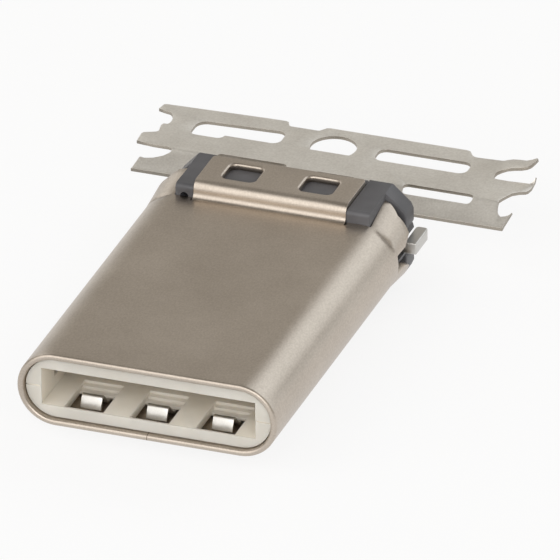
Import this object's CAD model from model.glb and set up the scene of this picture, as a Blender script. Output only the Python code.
# %% [markdown]
# # A cable plug, still on its carrier strip
#
# The object is the metal end of a cable before any cord is fitted: an oblong steel shell, plastic blocks
# that hold the contacts, and a length of the punched strip that carried it through the press. The solid
# model gives every piece its place. This lesson dresses those solids: sheet metal gets rolled edges and a
# satin plate, plastic gets its moulded softness, and the whole is set under soft studio light.

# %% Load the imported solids
import math

import bmesh
import bpy
from mathutils import Matrix, Vector


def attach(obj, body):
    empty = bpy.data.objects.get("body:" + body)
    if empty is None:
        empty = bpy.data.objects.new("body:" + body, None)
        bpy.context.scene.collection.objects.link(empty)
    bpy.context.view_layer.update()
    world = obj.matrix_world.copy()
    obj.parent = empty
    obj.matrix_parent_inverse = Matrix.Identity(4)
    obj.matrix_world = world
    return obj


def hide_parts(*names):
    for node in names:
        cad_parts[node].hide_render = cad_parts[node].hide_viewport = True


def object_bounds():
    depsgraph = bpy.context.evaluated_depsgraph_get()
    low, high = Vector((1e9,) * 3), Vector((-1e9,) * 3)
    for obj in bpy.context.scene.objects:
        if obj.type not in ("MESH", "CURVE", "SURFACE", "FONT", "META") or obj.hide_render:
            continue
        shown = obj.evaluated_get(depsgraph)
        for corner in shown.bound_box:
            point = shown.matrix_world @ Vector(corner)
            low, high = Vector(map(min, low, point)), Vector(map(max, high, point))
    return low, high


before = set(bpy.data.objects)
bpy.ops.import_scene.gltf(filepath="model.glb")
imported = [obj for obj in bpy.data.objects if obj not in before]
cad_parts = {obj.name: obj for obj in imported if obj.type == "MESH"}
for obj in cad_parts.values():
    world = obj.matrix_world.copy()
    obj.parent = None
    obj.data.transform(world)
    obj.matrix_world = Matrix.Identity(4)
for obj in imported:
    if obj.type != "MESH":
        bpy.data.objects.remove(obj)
cad_low, cad_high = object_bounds()
MM = 0.001
print("solids:", len(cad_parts), "box in mm:", [round(v / MM, 2) for v in (cad_high - cad_low)])

# %% [markdown]
# ## The camera
#
# The photograph was taken from far away with a long lens, so lines that are parallel on the plug stay
# parallel in the picture. A short lens would flare the nose. The view was solved from the plug's own
# edges: the camera stands to the right of the nose, looks down at it by about 28 degrees, and leans by
# less than one degree.

# %% Stand the camera at the photograph's view
VIEW_TURN, VIEW_HEIGHT, VIEW_LEAN = (math.radians(a) for a in (20.2341, 28.1738, -0.596))
VIEW_CENTRE, VIEW_DISTANCE = Vector((0, 8 * MM, 0)), 748.602 * MM
VIEW_SIDE, VIEW_RISE = 1.2597 * MM, 0.1885 * MM
LENS_MM, SENSOR_MM = 1600.0, 36.0

forward = Vector((
    -math.sin(VIEW_TURN) * math.cos(VIEW_HEIGHT),
    math.cos(VIEW_TURN) * math.cos(VIEW_HEIGHT),
    -math.sin(VIEW_HEIGHT),
))
level_right = Vector((math.cos(VIEW_TURN), math.sin(VIEW_TURN), 0.0))
level_up = level_right.cross(forward)
right = math.cos(VIEW_LEAN) * level_right + math.sin(VIEW_LEAN) * level_up
up = math.cos(VIEW_LEAN) * level_up - math.sin(VIEW_LEAN) * level_right

lens = bpy.data.cameras.new("photo_lens")
lens.lens, lens.sensor_width = LENS_MM, SENSOR_MM
lens.clip_start, lens.clip_end = 0.05, 5.0
camera = bpy.data.objects.new("photo_camera", lens)
bpy.context.scene.collection.objects.link(camera)
stand = VIEW_CENTRE + VIEW_SIDE * right + VIEW_RISE * up - VIEW_DISTANCE * forward
camera.matrix_world = Matrix.Translation(stand) @ Matrix((right, up, -forward)).transposed().to_4x4()
bpy.context.scene.camera = camera
print("camera stands at", [round(v, 3) for v in stand], "m")

# %% [markdown]
# ## The floor
#
# Metal shows what is around it, so the studio matters as much as the metal. The floor is a wide white
# sheet of paper. Strong lamps could whiten it, but they would bleach the plug too. Here the camera and
# the reflections see mostly a glow of strength 1, which is white by itself, and a little plain paper,
# which keeps the shadow.

# %% Lay the white floor
FLOOR_HALF, FLOOR_DROP = 0.8, 0.02 * MM
PAPER, GLOW_SHARE = 0.93, 0.85


def new_material(name):
    """A material with an empty node tree, apart from its output."""
    material = bpy.data.materials.new(name)
    material.use_nodes = True
    tree = material.node_tree
    tree.nodes.clear()
    output = tree.nodes.new("ShaderNodeOutputMaterial")
    return material, tree, output


def node_with(tree, kind, sources):
    """A new node, with a socket linked to each input named in sources, or a value set on it."""
    node = tree.nodes.new(kind)
    for label, source in sources.items():
        if isinstance(source, bpy.types.NodeSocket):
            tree.links.new(source, node.inputs[label])
        else:
            node.inputs[label].default_value = source
    return node


def math_of(tree, kind, *values):
    """The result of one math node on sockets or numbers."""
    node = node_with(tree, "ShaderNodeMath", dict(enumerate(values)))
    node.operation = kind
    return node.outputs[0]


floor_z = cad_low.z - FLOOR_DROP
corners = [(sx * FLOOR_HALF, sy * FLOOR_HALF, floor_z) for sx, sy in ((-1, -1), (1, -1), (1, 1), (-1, 1))]
floor_mesh = bpy.data.meshes.new("studio_floor")
floor_mesh.from_pydata(corners, [], [(0, 1, 2, 3)])
floor = bpy.data.objects.new("studio_floor", floor_mesh)
bpy.context.scene.collection.objects.link(floor)
floor_paint, tree, output = new_material("white_sweep")
paper = node_with(tree, "ShaderNodeBsdfDiffuse", {"Color": (PAPER, PAPER, PAPER, 1)}).outputs[0]
glow = node_with(tree, "ShaderNodeEmission", {"Color": (1, 1, 1, 1), "Strength": 1.0}).outputs[0]
rays = tree.nodes.new("ShaderNodeLightPath").outputs
seen = math_of(tree, "ADD", rays["Is Camera Ray"], rays["Is Glossy Ray"])
seen = math_of(tree, "ADD", seen, rays["Is Transmission Ray"])
share = math_of(tree, "MULTIPLY", seen, GLOW_SHARE)
blend = node_with(tree, "ShaderNodeMixShader", {"Fac": share, 1: paper, 2: glow})
tree.links.new(blend.outputs[0], output.inputs["Surface"])
floor_mesh.materials.append(floor_paint)
print("floor at", round(floor_z / MM, 3), "mm")

# %% [markdown]
# ## The world
#
# The world is what the steel mirrors wherever no lamp stands. An even one would give every flat the same
# tone. This one is a warm grey that is brightest part of the way up, where the flat top of the plug
# looks, and dimmer at the horizon and overhead, so that the slopes stand out.

# %% Shade the world from the horizon up
WORLD_TINT = (1.0, 0.955, 0.88)
WORLD_STOPS = ((0.0, 0.34), (0.12, 0.36), (0.3, 0.5), (0.6, 0.52), (0.8, 0.36), (1.0, 0.24))

world = bpy.data.worlds.new("studio")
bpy.context.scene.world = world
world.use_nodes = True
tree = world.node_tree
tree.nodes.clear()
direction = tree.nodes.new("ShaderNodeTexCoord").outputs["Generated"]
height = node_with(tree, "ShaderNodeSeparateXYZ", {0: direction}).outputs["Z"]
ramp = node_with(tree, "ShaderNodeValToRGB", {"Fac": height})
ramp.color_ramp.interpolation = "EASE"
for place, _ in WORLD_STOPS[1:-1]:
    ramp.color_ramp.elements.new(place)
for element, (place, level) in zip(ramp.color_ramp.elements, WORLD_STOPS):
    element.position = place
    element.color = (*(level * part for part in WORLD_TINT), 1)
sky = node_with(tree, "ShaderNodeBackground", {"Color": ramp.outputs["Color"], "Strength": 1.0})
node_with(tree, "ShaderNodeOutputWorld", {"Surface": sky.outputs[0]})
bpy.context.scene.view_settings.view_transform = "Standard"
print("world levels from the horizon up:", [level for _, level in WORLD_STOPS])

# %% [markdown]
# ## The lamps
#
# Small metal things are photographed under soft boxes, because a bare bulb shows in the steel as a hard
# white spot. Flat area lamps do the same here: one in front, a smaller one beside the camera that reaches
# into the mouth, two behind at the right and one behind at the left, which the round sides and the ears
# mirror.

# %% Hang the soft boxes
PLAIN, COOL, COOLISH = (1.0, 1.0, 1.0), (0.88, 0.96, 1.04), (0.95, 0.98, 1.0)


def soft_box(name, place_mm, aim_mm, size_mm, watts, tint=PLAIN):
    """A flat lamp that faces a point, with its width, height and place in millimetres."""
    lamp = bpy.data.lights.new(name, "AREA")
    lamp.shape, lamp.size, lamp.size_y = "RECTANGLE", size_mm[0] * MM, size_mm[1] * MM
    lamp.energy, lamp.color = watts, tint
    holder = bpy.data.objects.new(name, lamp)
    bpy.context.scene.collection.objects.link(holder)
    place, aim = Vector(place_mm) * MM, Vector(aim_mm) * MM
    holder.location = place
    holder.rotation_euler = (aim - place).to_track_quat("-Z", "Y").to_euler()


soft_box("front_box", (-150, -240, 180), (0, 4, 0), (400, 400), 0.66)
soft_box("nose_box", (125, -280, 160), (0, 2, 0), (240, 240), 0.42)
soft_box("rear_right_box", (118, 226, 176), (0, 8, 0), (240, 240), 0.178, COOL)
soft_box("rear_left_box", (-212, 198, 111), (0, 10, 0), (86, 178), 0.05, COOLISH)
soft_box("low_right_box", (226, 214, 42), (0, 10, 0), (86, 60), 0.026, COOL)

# %% [markdown]
# ## Marks in the metal
#
# Plated sheet is never one even grey. It keeps fine lines from the rolls and the die, a cloudy change of
# tone from the bath, and a grain that breaks up its reflections. An image of such marks would stretch
# over the bends, so they are noise, read in object coordinates in metres. They are of one kind on every
# metal piece here, so they are made once, as a node group. One of its inputs draws the lines out along
# the plug or leaves them as an even speckle.


# %% Draw the marks that rolled and plated sheet carries
def group_with(name, inputs, outputs):
    """An empty shader group with named value sockets."""
    group = bpy.data.node_groups.new(name, "ShaderNodeTree")
    for label, value in inputs:
        socket = group.interface.new_socket(label, in_out="INPUT", socket_type="NodeSocketFloat")
        socket.default_value = value
    for label in outputs:
        group.interface.new_socket(label, in_out="OUTPUT", socket_type="NodeSocketFloat")
    return group, group.nodes.new("NodeGroupInput"), group.nodes.new("NodeGroupOutput")


def noise_of(tree, vector, scale, detail, roughness=0.5):
    """A noise texture on a vector."""
    sources = {"Vector": vector, "Scale": scale, "Detail": detail, "Roughness": roughness}
    return node_with(tree, "ShaderNodeTexNoise", sources).outputs["Fac"]


def weighed(tree, first, share, second):
    """Two values mixed: the first by its share, the second by the rest."""
    part = math_of(tree, "MULTIPLY", first, share)
    return math_of(tree, "ADD", part, math_of(tree, "MULTIPLY", second, 1 - share))


sheet_marks, given, made = group_with(
    "sheet_marks",
    [("Lines", 26000.0), ("Stretch", 0.03), ("Grain", 30000.0), ("Clouds", 420.0)],
    ["Tone", "Gloss", "Height"],
)
coords = sheet_marks.nodes.new("ShaderNodeTexCoord").outputs["Object"]
pull = node_with(sheet_marks, "ShaderNodeCombineXYZ", {"X": 1.0, "Y": given.outputs["Stretch"], "Z": 1.0})
drawn = node_with(sheet_marks, "ShaderNodeVectorMath", {0: coords, 1: pull.outputs[0]})
drawn.operation = "MULTIPLY"
lines = noise_of(sheet_marks, drawn.outputs[0], given.outputs["Lines"], 2.0)
grain = noise_of(sheet_marks, coords, given.outputs["Grain"], 3.0, 0.6)
clouds = noise_of(sheet_marks, coords, given.outputs["Clouds"], 3.0, 0.55)
sheet_marks.links.new(weighed(sheet_marks, clouds, 0.45, lines), made.inputs["Tone"])
sheet_marks.links.new(weighed(sheet_marks, clouds, 0.45, grain), made.inputs["Gloss"])
sheet_marks.links.new(weighed(sheet_marks, lines, 0.55, grain), made.inputs["Height"])
print("group", sheet_marks.name, "has", len(sheet_marks.nodes), "nodes")

# %% [markdown]
# ## The skin of the plastic
#
# Moulded plastic has no such lines. It has a fine even grain from the mould and a soft change of tone
# where the melt flowed. That is a second group. Its three outputs have the same names, so that one recipe
# can use either group.

# %% Draw the skin of moulded plastic
moulded_skin, given, made = group_with(
    "moulded_skin", [("Grain", 24000.0), ("Flow", 900.0)], ["Tone", "Gloss", "Height"]
)
coords = moulded_skin.nodes.new("ShaderNodeTexCoord").outputs["Object"]
grain = noise_of(moulded_skin, coords, given.outputs["Grain"], 2.0, 0.6)
flow = noise_of(moulded_skin, coords, given.outputs["Flow"], 2.0, 0.5)
moulded_skin.links.new(flow, made.inputs["Tone"])
moulded_skin.links.new(weighed(moulded_skin, flow, 0.5, grain), made.inputs["Gloss"])
moulded_skin.links.new(grain, made.inputs["Height"])
print("group", moulded_skin.name, "has", len(moulded_skin.nodes), "nodes")

# %% [markdown]
# ## The recipe of a finish
#
# A finish is a recipe with its own numbers: the group's tone mixes a dark and a light colour, its gloss
# sets the roughness, and its height makes a very low bump. Seven node trees made by hand would drift
# apart, so one function builds them all.

# %% Build a material from a group of marks
NOISE_SPAN = (0.3, 0.7)
RELIEF_DEPTH = 0.004 * MM


def spread(tree, value, low, high):
    """A noise value, most of which lies within NOISE_SPAN, spread from low to high."""
    spans = dict(zip(("From Min", "From Max", "To Min", "To Max"), (*NOISE_SPAN, low, high)))
    return node_with(tree, "ShaderNodeMapRange", {"Value": value, **spans}).outputs[0]


def surface(name, group, dark, light, rough, bump, metallic, settings=()):
    """A material whose colour, roughness and bump all come from one group of marks."""
    material, tree, output = new_material(name)
    marks = tree.nodes.new("ShaderNodeGroup")
    marks.node_tree = group
    for label, value in settings:
        marks.inputs[label].default_value = value
    colour = tree.nodes.new("ShaderNodeMix")
    colour.data_type = "RGBA"
    colour.inputs["A"].default_value = (*dark, 1)
    colour.inputs["B"].default_value = (*light, 1)
    tree.links.new(spread(tree, marks.outputs["Tone"], 0.0, 1.0), colour.inputs["Factor"])
    height = {"Height": marks.outputs["Height"], "Strength": bump, "Distance": RELIEF_DEPTH}
    shader = node_with(tree, "ShaderNodeBsdfPrincipled", {
        "Base Color": colour.outputs["Result"],
        "Metallic": metallic,
        "Roughness": spread(tree, marks.outputs["Gloss"], *rough),
        "Normal": node_with(tree, "ShaderNodeBump", height).outputs[0],
    })
    tree.links.new(shader.outputs[0], output.inputs["Surface"])
    return material


print("noise is spread from", NOISE_SPAN)

# %% [markdown]
# ## The metals
#
# The shell has a satin nickel plate, a warm grey. The strip is paler sheet, and its sheared edges are
# darker. The springs and the latches are plain bright steel, and the contacts have a yellow plate.
# Pictures of real metal could be laid over the pieces, but numbers in one recipe are easier to set
# against the photograph's tones.

# %% Mix the metals
METAL = 1.0
satin_nickel = surface(
    "satin_nickel", sheet_marks, (0.435, 0.378, 0.32), (0.585, 0.518, 0.447), (0.30, 0.42), 0.6, METAL,
    [("Lines", 19000.0), ("Stretch", 0.6)],
)
carrier_sheet = surface(
    "carrier_sheet", sheet_marks, (0.76, 0.725, 0.67), (0.93, 0.90, 0.845), (0.40, 0.54), 0.4, METAL,
    [("Lines", 15000.0), ("Stretch", 1.0), ("Clouds", 700.0)],
)
sheared_edge = surface(
    "sheared_edge", sheet_marks, (0.34, 0.305, 0.26), (0.46, 0.42, 0.365), (0.42, 0.56), 0.5, METAL,
    [("Lines", 30000.0), ("Stretch", 1.0)],
)
bright_spring = surface(
    "bright_spring", sheet_marks, (0.53, 0.515, 0.485), (0.63, 0.615, 0.59), (0.28, 0.40), 0.25, METAL,
    [("Clouds", 1200.0)],
)
plated_contact = surface(
    "plated_contact", sheet_marks, (0.80, 0.58, 0.24), (0.90, 0.70, 0.34), (0.18, 0.30), 0.2, METAL,
    [("Clouds", 1500.0)],
)
metals = (satin_nickel, carrier_sheet, sheared_edge, bright_spring, plated_contact)
print("metals:", [metal.name for metal in metals])

# %% [markdown]
# ## The plastics
#
# The housing is moulded in cream and the blocks in slate. An opaque paint would make the cream look like
# chalk, so some of the light enters it and comes out nearby, as it does in pale mouldings. The slate is
# too dark for that to show.

# %% Mix the plastics
PLASTIC = 0.0
cream_plastic = surface(
    "cream_plastic", moulded_skin, (0.88, 0.815, 0.71), (0.95, 0.885, 0.78), (0.38, 0.52), 0.25, PLASTIC
)
cream_shader = cream_plastic.node_tree.nodes["Principled BSDF"]
cream_shader.inputs["Subsurface Weight"].default_value = 0.5
cream_shader.inputs["Subsurface Radius"].default_value = (1.0, 0.95, 0.88)
cream_shader.inputs["Subsurface Scale"].default_value = 0.5 * MM
slate_plastic = surface(
    "slate_plastic", moulded_skin, (0.076, 0.075, 0.081), (0.122, 0.12, 0.128), (0.36, 0.52), 0.3, PLASTIC
)
print("plastics:", [plastic.name for plastic in (cream_plastic, slate_plastic)])

# %% [markdown]
# ## The line under the shell
#
# The shell keeps a fine dark line along the middle of its underside, where the halves of the forming die
# met, and from the front it is a tick on the rim. A groove that fine would cost many faces, so the line
# is only colour: a small group makes a mask from the place on the shell, and the mask tints the plate.

# %% Mark the line under the shell
SEAM_COLOUR = (0.2, 0.165, 0.13)


def tint_by(material, mask, blend_type, colour):
    """Blend a colour into a material's own colour where a group's mask says so."""
    tree = material.node_tree
    base = tree.nodes["Principled BSDF"].inputs["Base Color"]
    own = base.links[0].from_socket
    local = tree.nodes.new("ShaderNodeGroup")
    local.node_tree = mask
    mix = tree.nodes.new("ShaderNodeMix")
    mix.data_type, mix.blend_type = "RGBA", blend_type
    mix.inputs["B"].default_value = (*colour, 1)
    tree.links.new(local.outputs["Mask"], mix.inputs["Factor"])
    tree.links.new(own, mix.inputs["A"])
    tree.links.new(mix.outputs["Result"], base)


def parted_coords(group):
    """The x, y and z of object coordinates inside a group."""
    coords = group.nodes.new("ShaderNodeTexCoord").outputs["Object"]
    return node_with(group, "ShaderNodeSeparateXYZ", {0: coords}).outputs


seam_line, given, made = group_with(
    "seam_line", [("Half Width", 0.014 * MM), ("Below", -0.9 * MM), ("Until", 10.6 * MM)], ["Mask"]
)
x, y, z = parted_coords(seam_line)
narrow = math_of(seam_line, "COMPARE", x, 0.0, given.outputs["Half Width"])
under = math_of(seam_line, "LESS_THAN", z, given.outputs["Below"])
ahead = math_of(seam_line, "LESS_THAN", y, given.outputs["Until"])
under_ahead = math_of(seam_line, "MULTIPLY", under, ahead)
seam_line.links.new(math_of(seam_line, "MULTIPLY", narrow, under_ahead), made.inputs["Mask"])
tint_by(satin_nickel, seam_line, "MIX", SEAM_COLOUR)
print("group", seam_line.name, "has", len(seam_line.nodes), "nodes")

# %% [markdown]
# ## The front face of the housing
#
# The cream moulding's front face was against the polished end of its mould and looks greyer than the
# walls inside the mouth. A second material would change at a hard edge, so another mask fades out just
# behind the face.

# %% Grey the front face
FACE_TINT = (0.28, 0.32, 0.37)

front_face, given, made = group_with("front_face", [("From", 0.25 * MM), ("To", 0.08 * MM)], ["Mask"])
depth = {"Value": parted_coords(front_face)["Y"]}
limits = {"From Min": given.outputs["From"], "From Max": given.outputs["To"]}
near = node_with(front_face, "ShaderNodeMapRange", depth | limits)
front_face.links.new(near.outputs[0], made.inputs["Mask"])
tint_by(cream_plastic, front_face, "MULTIPLY", FACE_TINT)
print("group", front_face.name, "has", len(front_face.nodes), "nodes")

# %% [markdown]
# ## Placing a piece
#
# A finished piece rides with the plug's one body and stands for its solids, which stay behind for the
# physics. Each piece could be linked and given its material by itself, but then a step is soon forgotten,
# so one function does all of it.


# %% Helpers that place a finished piece
def adopt(name, mesh, material, slot, *nodes, edge_material=None):
    """Make a mesh into a piece that rides with the plug and stands for the named solids.

    edge_material is for the faces whose material number is 1.
    """
    piece = bpy.data.objects.new(name, mesh)
    bpy.context.scene.collection.objects.link(piece)
    # Clearing the list also resets the faces' material numbers, so it is done only where there is a list.
    if mesh.materials:
        mesh.materials.clear()
    mesh.materials.append(material)
    if edge_material:
        mesh.materials.append(edge_material)
    mesh.polygons.foreach_set("use_smooth", [True] * len(mesh.polygons))
    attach(piece, "root")
    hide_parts(*nodes)
    return piece


def mesh_of(work, name):
    """A mesh made from a bmesh, which is then freed."""
    mesh = bpy.data.meshes.new(name)
    work.to_mesh(mesh)
    work.free()
    return mesh


def even_normals(piece):
    """Let large faces keep flat shading beside their rounds."""
    weigh = piece.modifiers.new("even_normals", "WEIGHTED_NORMAL")
    weigh.mode, weigh.weight, weigh.keep_sharp = "FACE_AREA", 50, True

# %% [markdown]
# ## Rounding a solid
#
# The solids have knife edges, and no moulded or stamped thing has those: even a small round on each edge
# catches the light as a thin bright line. A bright line could be painted on, but it would stay bright in
# the shade. A solid arrives as loose triangles, so a copy is welded and cleaned of its flat seams, and
# the Bevel modifier then finds the edges.

# %% Round the edges of a solid
WELD, FLAT_ANGLE = 0.0005 * MM, math.radians(1)
BLUNT_ANGLE, ROUND_ANGLE = 0.5, math.radians(32)


def softened(node, name, material, slot, round_mm, segments=2, is_blunt=None, blunt_mm=0.0):
    """A copy of a solid with its edges rounded, the convex ones that is_blunt picks more than the others."""
    work = bmesh.new()
    work.from_mesh(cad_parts[node].data)
    bmesh.ops.remove_doubles(work, verts=work.verts, dist=WELD)
    bmesh.ops.dissolve_limit(work, angle_limit=FLAT_ANGLE, verts=work.verts, edges=work.edges, delimit=set())
    if is_blunt:
        blunt = [e for e in work.edges if e.is_convex and e.calc_face_angle() > BLUNT_ANGLE and is_blunt(e)]
        bmesh.ops.bevel(
            work, geom=blunt, offset=blunt_mm * MM, offset_type="OFFSET", segments=4, profile=0.5,
            affect="EDGES", clamp_overlap=True,
        )
    piece = adopt(name, mesh_of(work, name), material, slot, node)
    edge = piece.modifiers.new("rounded_edges", "BEVEL")
    edge.width, edge.segments = round_mm * MM, segments
    edge.limit_method, edge.angle_limit = "ANGLE", ROUND_ANGLE
    edge.use_clamp_overlap = True
    even_normals(piece)
    print("rounded:", name)
    return piece

# %% [markdown]
# ## The mouldings and the latches
#
# The cream housing fills the nose, the dark blocks hold the contacts behind it, and the latches are the
# side springs that keep the plug in its socket. Their solids already have the right shape, apart from the
# ends of the latches' legs, so rounded edges are all that they need. The shoulders of the blocks show
# beside the tongue, where the real ones are visibly softer, so they get a wider round first.

# %% Round the edges of the mouldings and the latches
HOUSING_ROUND, BLOCK_ROUND, SHOULDER_ROUND, LATCH_ROUND = 0.025, 0.03, 0.12, 0.06
SHOULDER_IN, SHOULDER_OUT, SHOULDER_FRONT = 2.44, 2.6, 11.2
LEG_FROM, LEG_TRIM = 12.9, 0.15


def at_shoulder(edge):
    """Whether an edge belongs to the shoulders and the flange that show behind the shell."""
    ends = [corner.co / MM for corner in edge.verts]
    beside_tongue = all(abs(p.x) > SHOULDER_IN and p.y > SHOULDER_FRONT for p in ends)
    return beside_tongue and any(abs(p.x) > SHOULDER_OUT for p in ends)


softened("front_housing", "mouth_housing", cream_plastic, "pale_plastic", HOUSING_ROUND)
for level in ("upper", "lower"):
    softened(
        f"{level}_contact_block", f"{level}_block", slate_plastic, "dark_plastic", BLOCK_ROUND,
        is_blunt=at_shoulder, blunt_mm=SHOULDER_ROUND,
    )
for side in ("left", "right"):
    latch = softened(f"{side}_latch", f"{side}_side_latch", bright_spring, "spring_steel", LATCH_ROUND, 3)
    # The end of the leg is drawn a little shorter than its solid, as the photograph shows it.
    for corner in latch.data.vertices:
        if corner.co.y > LEG_FROM * MM:
            corner.co.y -= LEG_TRIM * MM

# %% [markdown]
# ## The shell
#
# The shell is one piece of steel, drawn into an oblong tube and then cut and bent at its rear end into
# two stepped tongues and four leaning ears. Pushing a box about would lose the even wall, so it is made
# as the press makes it: a thin sheet is laid out on the middle of the wall, each point with the direction
# that faces outwards, and the sheet is thickened at the end. The rim at the mouth is then rolled round,
# and the other cut edges get smaller rounds. All sizes are millimetres.

# %% Sizes of the shell
WALL = 0.2
FLAT_HALF, ROUND_R = 2.925, 1.1
OUTER_R = ROUND_R + WALL / 2
TUBE_ROWS, TUBE_END = (0.0, 0.4, 2.0, 4.0, 6.0, 8.0, 9.6, 10.4), 10.8
TONGUE_HALF, TONGUE_END, TONGUE_CORNER, TONGUE_CUT = 2.445, 12.63, 0.12, 0.04
STEP_Y, STEP_R, STEP_TOP = 10.9, 0.2, 1.63
FOOT_R = 0.29
FOOT_START = STEP_Y - FOOT_R
WINDOW_X, WINDOW_Y, WINDOW_W, WINDOW_L, WINDOW_R = 1.23, 11.835, 1.06, 0.97, 0.2
EAR_BEND, EAR_LEAN = 10.85, math.radians(9)
CREASE_LEAD, CREASE_DEPTH, CREASE_BOW = 0.02, 0.03, 0.13
SLIT_LEAN, SLIT_BOW = 0.035, 0.012
SLIT_X = {1: 3.24, -1: 3.065}
EAR_FROM = {side: math.asin((slit - FLAT_HALF) / OUTER_R) for side, slit in SLIT_X.items()}
# Height and place along the plug of each corner of an ear's rear edge, from the side gap up.
EAR_ENDS = ((0.28, 11.42), (0.54, 11.92), (1.08, 11.92), (1.32, 12.16), (2.4, 12.16))
SIDE_GAP = EAR_ENDS[0][0]
EAR_TO = math.acos(SIDE_GAP / ROUND_R)
print("tube:", 2 * (FLAT_HALF + OUTER_R), "by", 2 * OUTER_R, "mm")

# %% [markdown]
# ## Thin sheet
#
# The shell, the strip, the contacts and the springs are all stamped from sheet. The Solidify modifier
# could give a surface its thickness, but it takes the direction at each point from the faces around it,
# and beside a bend or an open edge that is a little off. This class keeps a direction for every point, so
# the wall stays even.


# %% Describe thin sheet metal
class Sheet:
    """Thin sheet: points on the middle of the wall, their outward directions, and the faces between them."""

    def __init__(self):
        self.points, self.outward, self.faces = [], [], []

    def add(self, point, outward):
        self.points.append(Vector(point))
        self.outward.append(Vector(outward).normalized())
        return len(self.points) - 1

    def grid(self, rows, closed=False):
        """Faces between rows of points that have the same length."""
        for before, after in zip(rows, rows[1:]):
            ends = list(zip(before, before[1:], after, after[1:]))
            if closed:
                ends.append((before[-1], before[0], after[-1], after[0]))
            self.faces += [(a, b, d, c) for a, b, c, d in ends]

    def fill(self, outline, holes, outward, height):
        """Triangles inside a flat outline with holes, and the numbers of each loop's points.

        Outline entries are point numbers or new (x, y) places.
        """
        work = bmesh.new()
        numbers = {}
        loops, rings = [], []
        for loop in [outline, *holes]:
            ring = []
            for entry in loop:
                number = entry if isinstance(entry, int) else self.add((entry[0], entry[1], height), outward)
                corner = work.verts.new((self.points[number].x, self.points[number].y, 0))
                numbers[corner] = number
                ring.append(corner)
            loops += [work.edges.new((ring[i - 1], ring[i])) for i in range(len(ring))]
            rings.append([numbers[corner] for corner in ring])
        bmesh.ops.triangle_fill(work, use_beauty=True, use_dissolve=False, edges=loops)
        self.faces += [tuple(numbers[v] for v in f.verts) for f in work.faces]
        work.free()
        return rings

    def thicken(self, thickness, edge_index=0):
        """A closed bmesh in metres, its vertices on the outer and the inner side, and its rim.

        The faces along the rim get the material with the number edge_index.
        """
        work = bmesh.new()
        outer = [work.verts.new((p + n * thickness / 2) * MM) for p, n in zip(self.points, self.outward)]
        inner = [work.verts.new((p - n * thickness / 2) * MM) for p, n in zip(self.points, self.outward)]
        uses = {}
        for face in self.faces:
            work.faces.new([outer[i] for i in face])
            work.faces.new([inner[i] for i in reversed(face)])
            for i in range(len(face)):
                key = frozenset((face[i - 1], face[i]))
                uses.setdefault(key, []).append((face[i - 1], face[i]))
        rim = [pair[0] for pair in uses.values() if len(pair) == 1]
        for a, b in rim:
            work.faces.new((outer[b], outer[a], inner[a], inner[b])).material_index = edge_index
        bmesh.ops.recalc_face_normals(work, faces=work.faces)
        return work, outer, inner, rim

# %% [markdown]
# ## Outlines and edges
#
# Punched openings have round corners, because a sharp corner would wear the punch and crack the sheet,
# and cut edges are a little blunt. The Bevel modifier picks edges by their angle and gives them all one
# width, but the rim, the windows and the other cuts differ, so the edges to round are named by their
# points.


# %% Helpers for outlines and edges
def both_sides(pairs, outer, inner):
    """Pairs of vertices on both sides of a thickened sheet, from pairs of its point numbers."""
    return [(side[a], side[b]) for a, b in pairs for side in (outer, inner)]


def round_edges(work, pairs, width, segments):
    """Round the edges between pairs of vertices."""
    edges = [work.edges.get(pair) for pair in pairs]
    bmesh.ops.bevel(
        work, geom=[e for e in edges if e], offset=width * MM, offset_type="OFFSET", segments=segments,
        profile=0.5, affect="EDGES", clamp_overlap=True,
    )


def arc(centre, radius, start, stop, steps):
    """Points of an arc in a plane, from one angle to another, in degrees."""
    return [
        (centre[0] + radius * math.cos(math.radians(a)), centre[1] + radius * math.sin(math.radians(a)))
        for a in (start + (stop - start) * i / steps for i in range(steps + 1))
    ]


def round_box(centre, width, length, radius, steps=5):
    """Outline of a rectangle with round corners."""
    x, y = width / 2 - radius, length / 2 - radius
    loop = []
    for sx, sy, start in ((1, 1, 0), (-1, 1, 90), (-1, -1, 180), (1, -1, 270)):
        loop += arc((centre[0] + sx * x, centre[1] + sy * y), radius, start, start + 90, steps)
    return loop


print("window opening:", WINDOW_W, "by", WINDOW_L, "mm")

# %% [markdown]
# ## How the ears are cut
#
# An ear is what is left of the tube's round side between the slit beside a tongue and the side gap. It
# leans outwards, and its rear edge slants forward twice on its way down to the gap. A knife cut through a
# finished mesh would leave ragged faces, so the place of the edge is worked out for each line of points
# on the ear, and the sheet simply ends there.

# %% Work out how the ears are cut
EAR_STEPS, CORNER_CLEAR = 12, 0.03
LONGEST_EAR, HALVINGS = 2.0, 40


def lean_back(y, z):
    """Reach and rise of a place in an ear's own leaning frame."""
    reach = (y - EAR_BEND) * math.cos(EAR_LEAN) + z * math.sin(EAR_LEAN)
    return reach, z * math.cos(EAR_LEAN) - (y - EAR_BEND) * math.sin(EAR_LEAN)


def leaned(angle, reach, radius=ROUND_R):
    """Place along the plug and height of a point of an ear, by its angle and its reach past the bend."""
    rise = radius * math.cos(angle)
    y = EAR_BEND + reach * math.cos(EAR_LEAN) - rise * math.sin(EAR_LEAN)
    return y, reach * math.sin(EAR_LEAN) + rise * math.cos(EAR_LEAN)


def ear_rear(height):
    """Place of an ear's rear edge along the plug, at a height above the middle plane."""
    for (z0, y0), (z1, y1) in zip(EAR_ENDS, EAR_ENDS[1:]):
        if height <= z1:
            return y0 + (y1 - y0) * (height - z0) / (z1 - z0)
    return EAR_ENDS[-1][1]


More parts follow.
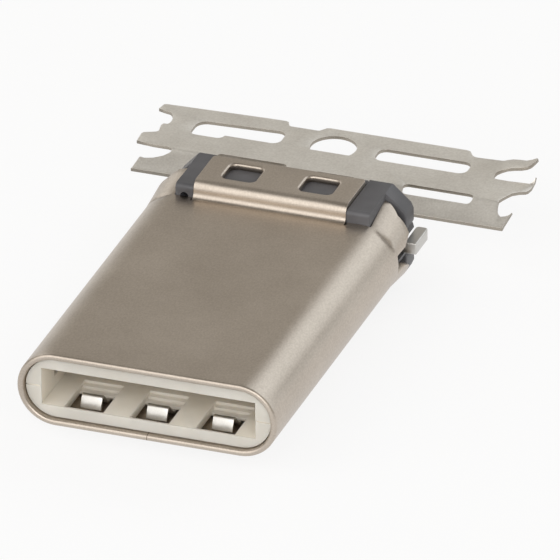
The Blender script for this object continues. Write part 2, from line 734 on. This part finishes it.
def rear_point(angle):
    """Point of an ear's rear edge on the middle of the wall, at an angle round the tube."""
    low_end, high_end = 0.0, LONGEST_EAR
    for _ in range(HALVINGS):
        middle = (low_end + high_end) / 2
        y, z = leaned(angle, middle, OUTER_R)
        low_end, high_end = (middle, high_end) if y < ear_rear(z) else (low_end, middle)
    return Vector((FLAT_HALF + ROUND_R * math.sin(angle), *leaned(angle, low_end)))


def foot_angle():
    """Angle round the tube of an ear's lower rear corner, which is level with the side gap."""
    reach = lean_back(EAR_ENDS[0][1], SIDE_GAP)[0]
    return math.acos((SIDE_GAP - reach * math.sin(EAR_LEAN)) / ROUND_R / math.cos(EAR_LEAN))


def bowed(y, share):
    """A place along the plug, drawn forward half way down an ear, where its crease bows towards the nose."""
    return y if share is None else y - CREASE_BOW * math.sin(math.pi * share)


def shares_down(side):
    """Shares of the way down an ear where its points lie: even steps, and each corner of its rear edge."""
    top, foot = EAR_FROM[side], foot_angle()
    corners = [(math.acos(lean_back(y, z)[1] / OUTER_R) - top) / (foot - top) for z, y in EAR_ENDS[1:-1]]
    even = [i / EAR_STEPS for i in range(EAR_STEPS + 1)]
    return sorted(corners + [share for share in even if all(abs(share - c) > CORNER_CLEAR for c in corners)])


print("points down an ear:", len(shares_down(1)), "right,", len(shares_down(-1)), "left")

# %% [markdown]
# ## The tube
#
# The tube is one loop of points round the oblong section, repeated in rows from the mouth to the step.
# The flats need few points. The round sides take theirs from the ears, so that each line of points on an
# ear carries on from one on the tube.


# %% Lay out the oblong tube
def turns(side):
    """Angles round one side, from top to bottom, each with its share of the way down an ear, or None."""
    top = EAR_FROM[side]
    upper = [(top * i / 3, None) for i in range(3)]
    upper += [(top + (EAR_TO - top) * share, share) for share in shares_down(side)]
    gap = [(EAR_TO + (math.pi - 2 * EAR_TO) * i / 6, None) for i in range(1, 6)]
    return upper + gap + [(math.pi - angle, share) for angle, share in reversed(upper)]


def round_stations(side):
    """Places round one side of the tube: x, z, outward direction, kind and share of the way down an ear."""
    result = []
    for angle, share in turns(side):
        out = (side * math.sin(angle), math.cos(angle))
        kind = "round" if share is None else "ear"
        result.append((side * FLAT_HALF + ROUND_R * out[0], ROUND_R * out[1], out, kind, share))
    return result


def flat_stations(kind, sign, *places):
    """Places across the tube's upper or lower flat, in the same form."""
    return [(x, sign * ROUND_R, (0, sign), kind, None) for x in places]


shell = Sheet()
across = [-TONGUE_HALF, -1.6, -0.8, 0.0, 0.8, 1.6, TONGUE_HALF]
beside = TONGUE_HALF + TONGUE_CUT
stations = flat_stations("tongue", 1, *across) + flat_stations("plain", 1, beside)
stations += round_stations(1)
stations += flat_stations("plain", -1, beside) + flat_stations("tongue", -1, *reversed(across))
stations += flat_stations("plain", -1, -beside)
stations += reversed(round_stations(-1))
stations += flat_stations("plain", 1, -beside)
tube_rows = []
for y in (*TUBE_ROWS, FOOT_START):
    row = []
    for x, z, (nx, nz), _, share in stations:
        along = bowed(y, share) if y == FOOT_START else y
        row.append(shell.add((x, along, z), (nx, 0, nz)))
    tube_rows.append(row)
shell.grid(tube_rows, closed=True)
last_row = {}
for place, (x, z, (nx, nz), kind, share) in enumerate(stations):
    if kind != "tongue":
        along = TUBE_END if share is None else bowed(EAR_BEND - CREASE_LEAD, share)
        last_row[place] = shell.add((x, along, z), (nx, 0, nz))
for place in last_row:
    after = (place + 1) % len(stations)
    if after in last_row:
        shell.faces.append((tube_rows[-1][place], tube_rows[-1][after], last_row[after], last_row[place]))
print("points round the tube:", len(stations))

# %% [markdown]
# ## The tongues
#
# Each tongue steps up over two bends, a hollow foot and a round top, and ends in a flat with two windows.
# A boolean cut would leave slivers round the windows, so the flat is filled between its own outline and
# theirs.

# %% Step the two tongues up and cut their windows
# Points along the straight edges of a tongue, which keep its triangles short.
SIDE_POINTS, REAR_POINTS = (11.4, 12.0), (1.2, 0.0, -1.2)
FOOT_STEPS, TOP_STEPS = 6, 8


def step_profile():
    """Side view of a tongue's step, with outward directions: up the hollow foot and over the round top."""
    profile = []
    for turn in (math.radians(90 * i / FOOT_STEPS) for i in range(1, FOOT_STEPS + 1)):
        sine, cosine = math.sin(turn), math.cos(turn)
        profile.append((FOOT_START + FOOT_R * sine, ROUND_R + FOOT_R * (1 - cosine), -sine, cosine))
    for turn in (math.radians(90 * i / TOP_STEPS) for i in range(TOP_STEPS + 1)):
        sine, cosine = math.sin(turn), math.cos(turn)
        profile.append((STEP_Y + STEP_R * (1 - cosine), STEP_TOP - STEP_R * (1 - sine), -cosine, sine))
    return profile


window_rims = set()
corner_x, corner_y = TONGUE_HALF - TONGUE_CORNER, TONGUE_END - TONGUE_CORNER
for sign in (1, -1):
    places = [i for i, s in enumerate(stations) if s[3] == "tongue" and s[1] * sign > 0]
    places.sort(key=lambda i: stations[i][0])
    rows = [[tube_rows[-1][i] for i in places]]
    for y, z, ny, nz in step_profile():
        rows.append([shell.add((stations[i][0], y, sign * z), (0, ny, sign * nz)) for i in places])
    shell.grid(rows)
    outline = list(rows[-1]) + [(TONGUE_HALF, y) for y in SIDE_POINTS]
    outline += arc((corner_x, corner_y), TONGUE_CORNER, 0, 90, 4)
    outline += [(x, TONGUE_END) for x in REAR_POINTS]
    outline += arc((-corner_x, corner_y), TONGUE_CORNER, 90, 180, 4)
    outline += [(-TONGUE_HALF, y) for y in reversed(SIDE_POINTS)]
    windows = [round_box((side * WINDOW_X, WINDOW_Y), WINDOW_W, WINDOW_L, WINDOW_R) for side in (-1, 1)]
    rings = shell.fill(outline, windows, (0, 0, sign), sign * STEP_TOP)
    window_rims.update(rings[1] + rings[2])
print("sheet so far:", len(shell.points), "points")

# %% [markdown]
# ## The ears
#
# The ears bend out along a crease that bows towards the nose and sinks in a little, as pressed sheet
# does. Bending finished faces would kink the round side, so each point is placed anew between the crease
# and the rear edge that was worked out before.

# %% Lean the four ears out
EAR_ROWS = (0.0, 0.06, 0.2, 0.4, 0.6, 0.8, 1.0)


def ear_point(sx, sz, down, share):
    """A point of an ear and its outward direction, by its shares of the way down and to the rear edge."""
    top = EAR_FROM[sx]
    at_bend, at_rear = top + (EAR_TO - top) * down, top + (foot_angle() - top) * down
    angle = at_bend + (at_rear - at_bend) * share
    crease_x, crease_z = FLAT_HALF + ROUND_R * math.sin(at_bend), ROUND_R * math.cos(at_bend)
    crease = Vector((crease_x, bowed(EAR_BEND, down), crease_z))
    end = rear_point(at_rear)
    along = (end - crease).normalized()
    radial = Vector((math.sin(angle), 0, math.cos(angle)))
    out = (radial - along * radial.dot(along)).normalized()
    point = crease.lerp(end, share)
    if share == 0:
        out = (out + radial).normalized()
        point -= out * CREASE_DEPTH * math.sin(math.pi * down) ** 2
    point.x -= (SLIT_LEAN * share + SLIT_BOW * math.sin(math.pi * share)) * (1 - down) ** 2
    return (sx * point.x, point.y, sz * point.z), (sx * out.x, out.y, sz * out.z)


creases = []
for sx in (1, -1):
    for sz in (1, -1):
        places = [i for i, s in enumerate(stations) if s[3] == "ear" and s[0] * sx > 0 and s[1] * sz > 0]
        places.sort(key=lambda i: -abs(stations[i][1]))
        rows = [[last_row[i] for i in places]]
        for share in EAR_ROWS:
            rows.append([shell.add(*ear_point(sx, sz, stations[i][4], share)) for i in places])
        shell.grid(rows)
        creases += zip(rows[1], rows[1][1:])
print("sheet with ears:", len(shell.points), "points,", len(shell.faces), "faces")

# %% [markdown]
# ## The wall and its edges
#
# Only now does the sheet get its wall, so its thickness is the same everywhere. The mouth's rim is rolled
# on the real part and gets the widest round, the windows' outer edges a smaller one and the other cut
# edges the smallest, because sheared steel stays fairly crisp. The creases are marked sharp, so that the
# light breaks along them.

# %% Thicken the sheet, roll the rim and ease the cut edges
WINDOW_ROUND, CUT_ROUND, MOUTH_ROUND = 0.075, 0.048, 0.094

work, outer, inner, rim = shell.thicken(WALL)
front = set(tube_rows[0])
mouth_rim = [(a, b) for a, b in rim if a in front and b in front]
window_edges = [(outer[a], outer[b]) for a, b in rim if a in window_rims and b in window_rims]
cut_rim = [(a, b) for a, b in rim if not (a in front or a in window_rims)]
for a, b in creases:
    work.edges.get((outer[a], outer[b])).smooth = False
round_edges(work, window_edges, WINDOW_ROUND, 4)
round_edges(work, both_sides(cut_rim, outer, inner), CUT_ROUND, 3)
round_edges(work, both_sides(mouth_rim, outer, inner), MOUTH_ROUND, 5)
drawn_shell = adopt("drawn_shell", mesh_of(work, "drawn_shell"), satin_nickel, "shell_steel", "outer_shell")
even_normals(drawn_shell)
print("shell:", len(drawn_shell.data.polygons), "faces")

# %% [markdown]
# ## The carrier strip
#
# While the plug is being made, its middle shield plate is one of many on a long strip, and the strip is
# what the machines pull and locate. Here a short length of it is still attached: a punched sheet with a
# fold, a locating hole with a flat, long slots, and ends that were cut roughly. It is drawn as one
# outline with holes, exactly as the punches would leave it, then cut across where it folds and lifted
# into shape. Folding after cutting carries each hole over the bend in one piece. The cut edges are darker
# than the rolled faces, so they get a steel of their own.

# %% Draw the strip's outline as the punches leave it
SHEET_T, STRIP_Z = 0.1, 0.45
SLOPE_FROM, SLOPE_TO, FOLD_R = 14.04, 14.82, 0.17
PLATE_HALF, PLATE_FROM, PLATE_TO, LIP = 3.25, 7.3, 12.95, 13.98
NECK_IN, NECK_OUT = 1.2, 2.0
BITE_CENTRE, BITE_R = (-6.0, 16.46), 0.76

front_edge = [(-5.65, LIP), (-NECK_OUT, LIP), (-NECK_OUT, PLATE_TO)]
front_edge += [(-PLATE_HALF, PLATE_TO), (-PLATE_HALF, PLATE_FROM)]
front_edge += [(-x, y) for x, y in reversed(front_edge[1:])]
torn_corner = [(6.3, LIP), (6.32, 14.12), (6.43, 14.55), (6.36, 14.46), (6.27, 14.41), (6.12, 14.37)]
torn_corner += [(6.04, 14.43), (5.97, 14.52), (5.93, 14.64), (5.91, 14.75), (5.91, 14.86)]
tab = [(5.96, 15.04), (6.03, 15.25), (6.11, 15.45), (6.28, 15.62), (6.45, 15.72), (6.5, 15.8)]
tab += [(6.53, 16.05), (6.55, 16.4), (6.5, 16.34), (6.4, 16.28), (5.75, 16.16), (5.38, 16.13)]
tab += [(5.28, 16.15), (5.24, 16.24), (5.23, 16.4), (5.25, 16.52)]
prong = [(5.36, 16.65), (5.51, 16.74), (5.71, 16.755), (5.96, 16.735), (6.13, 16.77), (6.22, 16.87)]
prong += [(6.27, 17.1), (6.29, 17.33), (6.25, 17.36), (6.12, 17.28), (5.96, 17.23), (5.72, 17.32)]
prong += [(5.48, 17.38), (5.3, 17.35), (5.13, 17.3)]
rear_edge = [(4.37, 17.25), (4.25, 17.27), (4.17, 17.33), (4.1, 17.45), (4.02, 17.56), (3.9, 17.6)]
rear_edge += [(-0.5, 17.59), (-0.6, 17.56), (-0.76, 17.34), (-0.84, 17.32), (-1.68, 17.32)]
rear_edge += [(-1.75, 17.36), (-1.84, 17.56), (-1.94, 17.6), (-2.5, 17.59), (-5.75, 17.46)]
left_end = [(-5.83, 17.42), (-5.88, 17.11), (-5.62, 17.03), *arc(BITE_CENTRE, BITE_R, 45, -10, 6)]
left_end += [(-5.29, 16.26), (-5.42, 16.24), (-5.45, 16.12), (-5.39, 15.75), (-5.45, 15.67), (-5.79, 15.52)]
left_end += [(-5.83, 15.43), (-5.8, 14.93), (-5.2, 14.86), (-4.75, 14.86), (-4.63, 14.82), (-4.6, 14.75)]
left_end += [(-4.66, 14.67), (-4.8, 14.57), (-5.08, 14.46), (-5.36, 14.41), (-5.48, 14.43), (-5.52, 14.41)]
left_end += [(-5.62, 14.1)]
outline = front_edge + torn_corner + tab + prong + rear_edge + left_end
print("outline:", len(outline), "points")

# %% [markdown]
# ## The strip's holes
#
# The pilot hole in the middle takes a pin of the press, which keeps the strip in step, and it is flat at
# the front. Beside it are long slots, and smaller ones lie across the fold. Booleans could cut them, but
# their cuts need cleaning up, so each hole is a loop of points and the sheet is filled between the loops.

# %% Punch its holes
PILOT_Y, PILOT_R = 16.46, 0.72
SLOT_CENTRE, SLOT_L, SLOT_W, SLOT_CORNER = (2.875, 16.48), 2.97, 0.76, 0.266
BROW_XS, BROW_Y, BROW_L, BROW_W, BROW_CORNER = (3.96, -2.04), 14.77, 2.25, 0.36, 0.162
SLOPE_HOLE, SLOPE_HOLE_L, SLOPE_HOLE_W, SLOPE_HOLE_CORNER = (0.66, 14.62), 1.48, 0.44, 0.198

pilot = arc((0, PILOT_Y), PILOT_R, -30, 210, 24)
left_slot = [*arc((-1.91, 16.37), 0.27, -90, 0, 5), *arc((-1.91, 16.65), 0.27, 0, 90, 5)]
left_slot += [*arc((-4.1, 16.44), 0.36, 90, 180, 7), *arc((-4.26, 16.08), 0.2, 180, 270, 4)]
left_slot += [*arc((-3.59, 16.08), 0.2, 270, 330, 3), (-3.37, 16.1)]
punched = [
    [(-NECK_IN, PLATE_TO), (NECK_IN, PLATE_TO), (NECK_IN, LIP), (-NECK_IN, LIP)],
    pilot,
    left_slot,
    round_box(SLOT_CENTRE, SLOT_L, SLOT_W, SLOT_CORNER),
    *[round_box((x, BROW_Y), BROW_L, BROW_W, BROW_CORNER) for x in BROW_XS],
    round_box(SLOPE_HOLE, SLOPE_HOLE_L, SLOPE_HOLE_W, SLOPE_HOLE_CORNER),
]
blank = Sheet()
blank.fill(outline, punched, (0, 0, 1), 0.0)
print("blank:", len(punched), "holes,", len(blank.faces), "triangles")

# %% [markdown]
# ## The fold and the bent ends
#
# The strip's fold is two round bends with a slope between them, and at the torn right end a prong is bent
# up and a tab down. Turning parts of the mesh about hinges would distort the holes that cross the bends,
# so one function gives the height at each place instead. The sheet's outward directions follow from how
# that height changes nearby.

# %% Say how far the strip is lifted at each place
PRONG_X, PRONG_Y, PRONG_SLOPE = 5.2, 16.25, 0.235
TAB_FOLD, TAB_ACROSS, TAB_SLOPE = (5.25, 16.2), (0.88, 0.48), 0.06
TAB_FRONT, TAB_REAR = 14.9, 16.5
EASE_FRONT, EASE_REAR = 0.2, 0.25


def fold_height(y):
    """Height of the strip's middle along its length: level, up the slope with round folds, level again."""
    slope = math.atan2(STRIP_Z, SLOPE_TO - SLOPE_FROM)
    reach = FOLD_R * math.tan(slope / 2)
    if y <= SLOPE_FROM - reach:
        return 0.0
    if y < SLOPE_FROM + reach * math.cos(slope):
        return FOLD_R - math.sqrt(FOLD_R**2 - (y - SLOPE_FROM + reach) ** 2)
    if y <= SLOPE_TO - reach * math.cos(slope):
        return (y - SLOPE_FROM) * math.tan(slope)
    if y < SLOPE_TO + reach:
        return STRIP_Z - FOLD_R + math.sqrt(FOLD_R**2 - (SLOPE_TO + reach - y) ** 2)
    return STRIP_Z


def eased(distance, span):
    """A share that grows from 0 to 1 over a span."""
    return min(1.0, max(0.0, distance / span))


def strip_height(x, y):
    """Height of the strip, with its right ends bent: the prong up, the tab down along a slanting line."""
    prong_rise = PRONG_SLOPE * max(0.0, x - PRONG_X) * eased(y - PRONG_Y, EASE_REAR)
    past_fold = TAB_ACROSS[0] * (x - TAB_FOLD[0]) + TAB_ACROSS[1] * (y - TAB_FOLD[1])
    on_tab = eased(TAB_REAR - y, EASE_REAR) * eased(y - TAB_FRONT, EASE_FRONT)
    return fold_height(y) + prong_rise - TAB_SLOPE * max(0.0, past_fold) * on_tab


prong_top = max(strip_height(x, y) for x, y in prong)
print("the flat lies at", STRIP_Z, "mm and the prong reaches", round(prong_top, 2), "mm")

# %% [markdown]
# ## Lifting the sheet
#
# A mesh can bend only where it has points, and the blank's long triangles have none along the folds. A
# fine grid would have enough of them, but its squares would not follow the holes, so the blank is cut
# along the few lines where it bends. Then each point is lifted, and the sheet gets its thickness and a
# small round on its edges.

# %% Fold the strip and thicken it
FOLD_CUTS = (-0.046, -0.023, 0.0, 0.02, 0.04)
BEND_CUTS, BEND_END = (5.2, 5.4, 5.6, 5.8, 6.0, 6.2), 16.3
PROBE, STRIP_ROUND, CUT_SNAP = 0.005, 0.014, 1e-5
X_AXIS, Y_AXIS = (1, 0, 0), (0, 1, 0)

work = bmesh.new()
corners = [work.verts.new(p) for p in blank.points]
for face in blank.faces:
    work.faces.new([corners[i] for i in face])
cuts = [((0, SLOPE_FROM + d, 0), Y_AXIS) for d in FOLD_CUTS]
cuts += [((0, SLOPE_TO - d, 0), Y_AXIS) for d in reversed(FOLD_CUTS)]
cuts += [((x, 0, 0), X_AXIS) for x in BEND_CUTS]
cuts += [((*TAB_FOLD, 0), (*TAB_ACROSS, 0)), ((0, BEND_END, 0), Y_AXIS)]
for place, normal in cuts:
    everything = [*work.verts, *work.edges, *work.faces]
    bmesh.ops.bisect_plane(work, geom=everything, dist=CUT_SNAP, plane_co=place, plane_no=normal)
bmesh.ops.triangulate(work, faces=work.faces)
work.verts.index_update()
strip = Sheet()
for corner in work.verts:
    x, y = corner.co.x, corner.co.y
    rise_x = (strip_height(x + PROBE, y) - strip_height(x - PROBE, y)) / (2 * PROBE)
    rise_y = (strip_height(x, y + PROBE) - strip_height(x, y - PROBE)) / (2 * PROBE)
    strip.add((x, y, strip_height(x, y)), (-rise_x, -rise_y, 1))
strip.faces = [tuple(v.index for v in f.verts) for f in work.faces]
work.free()
work, outer, inner, rim = strip.thicken(SHEET_T, edge_index=1)
round_edges(work, both_sides(rim, outer, inner), STRIP_ROUND, 2)
punched_strip = adopt(
    "punched_strip", mesh_of(work, "punched_strip"), carrier_sheet, "carrier_steel", "middle_plate",
    edge_material=sheared_edge,
)
even_normals(punched_strip)
print("strip:", len(punched_strip.data.polygons), "faces")

# %% [markdown]
# ## One contact and one finger
#
# A contact is a narrow spring of plated metal whose bent tip touches the socket's tongue, and a shield
# finger is a shorter spring just inside the mouth. Both are ribbons of sheet along a bent path. A curve
# with a bevel could make them too, but its corners would be round all over, so the sheet from before is
# used again: a row of points for each place on the path, and then the thickness.

# %% Bend one contact and one finger
TAIL_Z, TOUCH_Z, SPRING_Z = 0.46, 0.38, 0.93
PATH_BEND, BEND_SHARE = 0.12, 0.45


def bent_path(path, radius, steps=4):
    """A path of (y, z) points with rounded corners, which take at most BEND_SHARE of a straight."""
    result = [Vector(path[0])]
    for before, corner, after in zip(path, path[1:], path[2:]):
        before, corner, after = Vector(before), Vector(corner), Vector(after)
        inward, onward = (before - corner), (after - corner)
        reach = min(radius, inward.length * BEND_SHARE, onward.length * BEND_SHARE)
        start, stop = corner + inward.normalized() * reach, corner + onward.normalized() * reach
        for i in range(steps + 1):
            t = i / steps
            result.append(start * (1 - t) ** 2 + corner * 2 * t * (1 - t) + stop * t**2)
    return result + [Vector(path[-1])]


def ribbon(name, path, width, thickness, round_mm, flip=1):
    """A narrow strip along a path, with rounded edges. A flip of -1 mirrors it below the middle plane."""
    sheet = Sheet()
    rows = []
    for i, place in enumerate(path):
        along = path[min(i + 1, len(path) - 1)] - path[max(i - 1, 0)]
        out = (0, -along.y * flip, along.x)
        rows.append([sheet.add((x, place.x, place.y * flip), out) for x in (-width / 2, 0.0, width / 2)])
    sheet.grid(rows)
    work, outer, inner, rim = sheet.thicken(thickness)
    round_edges(work, both_sides(rim, outer, inner), round_mm, 2)
    return mesh_of(work, name)


tail, touch = [(13.8, TAIL_Z), (7.2, TAIL_Z)], [(3.57, TOUCH_Z), (3.33, TOUCH_Z)]
contact_path = bent_path([*tail, (6.55, 0.65), (3.8, 0.44), *touch, (2.95, 0.57)], PATH_BEND)
finger_path = bent_path([(1.92, SPRING_Z), (1.47, SPRING_Z), (1.05, 0.5), (0.85, 0.91)], PATH_BEND, 6)
print("contact path:", len(contact_path), "points; finger path:", len(finger_path), "points")

# %% [markdown]
# ## A row
#
# Contacts and fingers repeat at a fixed pitch, and the pitch is the rule that the whole standard hangs
# on. A loop could set copies down one by one. Geometry Nodes keep the rule in one place: the count, the
# pitch and the places left empty are inputs of the row.

# %% Set a shape out in a row with Geometry Nodes
row_tree = bpy.data.node_groups.new("pitched_row", "GeometryNodeTree")
row_inputs = {}
for label, kind in (
    ("Shape", "NodeSocketObject"), ("Count", "NodeSocketInt"), ("Pitch", "NodeSocketFloat"),
    ("First Empty", "NodeSocketInt"), ("Last Empty", "NodeSocketInt"), ("Finish", "NodeSocketMaterial"),
):
    row_inputs[label] = row_tree.interface.new_socket(label, in_out="INPUT", socket_type=kind).identifier
row_tree.interface.new_socket("Row", in_out="OUTPUT", socket_type="NodeSocketGeometry")
given, made = row_tree.nodes.new("NodeGroupInput"), row_tree.nodes.new("NodeGroupOutput")


def row_node(kind, sources, output=0):
    """One output of a new node in the row's tree."""
    return node_with(row_tree, kind, sources).outputs[output]


def passes(operation, number):
    """Whether the index of a place passes a limit."""
    node = row_tree.nodes.new("FunctionNodeCompare")
    node.data_type, node.operation = "INT", operation
    row_tree.links.new(row_tree.nodes.new("GeometryNodeInputIndex").outputs[0], node.inputs[2])
    row_tree.links.new(number, node.inputs[3])
    return node.outputs[0]


count, pitch = given.outputs["Count"], given.outputs["Pitch"]
span = math_of(row_tree, "MULTIPLY", math_of(row_tree, "SUBTRACT", count, 1.0), pitch)
start = row_node("ShaderNodeCombineXYZ", {"X": math_of(row_tree, "MULTIPLY", span, -0.5)})
step = row_node("ShaderNodeCombineXYZ", {"X": pitch})
places = row_node("GeometryNodeMeshLine", {"Count": count, "Start Location": start, "Offset": step})
from_first = passes("GREATER_EQUAL", given.outputs["First Empty"])
to_last = passes("LESS_EQUAL", given.outputs["Last Empty"])
left_out = row_node("FunctionNodeBooleanMath", {0: from_first, 1: to_last})
taken = row_node("GeometryNodeDeleteGeometry", {"Geometry": places, "Selection": left_out})
shape = row_node("GeometryNodeObjectInfo", {"Object": given.outputs["Shape"]}, "Geometry")
copies = row_node("GeometryNodeInstanceOnPoints", {"Points": taken, "Instance": shape})
whole = row_node("GeometryNodeRealizeInstances", {0: copies})
finished = row_node("GeometryNodeSetMaterial", {"Geometry": whole, "Material": given.outputs["Finish"]})
row_tree.links.new(finished, made.inputs[0])
print("row tree:", len(row_tree.nodes), "nodes")

# %% [markdown]
# ## The contacts
#
# The upper row has twelve contacts. The lower one is its mirror and leaves its two middle places empty,
# as plugs of this kind do. Each row becomes one plain mesh that stands for all its solids, because
# nothing in it moves by itself.

# %% Make the two rows of contacts
NONE_EMPTY, MIDDLE_EMPTY = (-2, -1), (5, 6)
PLACES, PITCH = 12, 0.5
CONTACT_W, CONTACT_T, CONTACT_ROUND = 0.25, 0.12, 0.02


def row_of(name, shape_mesh, count, pitch_mm, empty, material):
    """The plain mesh of a row: one shape repeated, with the places from empty[0] to empty[1] left out."""
    sample = bpy.data.objects.new(name + "_shape", shape_mesh)
    holder = bpy.data.objects.new(name, bpy.data.meshes.new(name))
    for thing in (sample, holder):
        bpy.context.scene.collection.objects.link(thing)
    nodes = holder.modifiers.new("row", "NODES")
    nodes.node_group = row_tree
    values = {"Shape": sample, "Count": count, "Pitch": pitch_mm * MM, "Finish": material}
    values["First Empty"], values["Last Empty"] = empty
    for label, value in values.items():
        nodes[row_inputs[label]] = value
    bpy.context.view_layer.update()
    graph = bpy.context.evaluated_depsgraph_get()
    mesh = bpy.data.meshes.new_from_object(holder.evaluated_get(graph))
    for thing in (holder, sample):
        bpy.data.objects.remove(thing)
    return mesh


for letter, flip, empty in (("a", 1, NONE_EMPTY), ("b", -1, MIDDLE_EMPTY)):
    contact = ribbon(f"contact_{letter}", contact_path, CONTACT_W, CONTACT_T, CONTACT_ROUND, flip)
    mesh = row_of(f"row_{letter}", contact, PLACES, PITCH, empty, plated_contact)
    nodes = [f"contact_{letter}{i + 1}" for i in range(PLACES) if not empty[0] <= i <= empty[1]]
    adopt(f"contact_row_{letter}", mesh, plated_contact, "contact_metal", *nodes)
    print("row", letter, "has", len(nodes), "contacts and", len(mesh.polygons), "faces")

# %% [markdown]
# ## The shield springs
#
# Above and below the mouth, three fingers stand on a thin plate between the housing and the steel. On the
# real part each spring is one stamping, so its fingers and its plate are joined into one mesh.

# %% Join the fingers to the plates they spring from
FINGERS, FINGER_PITCH, FINGER_W = 3, 2.09, 0.67
SPRING_T, SPRING_ROUND = 0.08, 0.015
SPRING_Y, SPRING_W, SPRING_L, SPRING_CORNER = 3.02, 5.75, 2.6, 0.15

for level, flip in (("upper", 1), ("lower", -1)):
    finger = ribbon(f"{level}_finger", finger_path, FINGER_W, SPRING_T, SPRING_ROUND, flip)
    fingers = row_of(f"{level}_fingers", finger, FINGERS, FINGER_PITCH, NONE_EMPTY, bright_spring)
    plate = Sheet()
    plate.fill(round_box((0, SPRING_Y), SPRING_W, SPRING_L, SPRING_CORNER), [], (0, 0, flip), SPRING_Z * flip)
    work, outer, inner, rim = plate.thicken(SPRING_T)
    round_edges(work, both_sides(rim, outer, inner), SPRING_ROUND, 2)
    work.from_mesh(fingers)
    mesh = mesh_of(work, f"{level}_spring")
    even_normals(adopt(f"{level}_spring", mesh, bright_spring, "spring_steel", f"{level}_shield_spring"))
    print(level, "spring:", len(mesh.polygons), "faces")
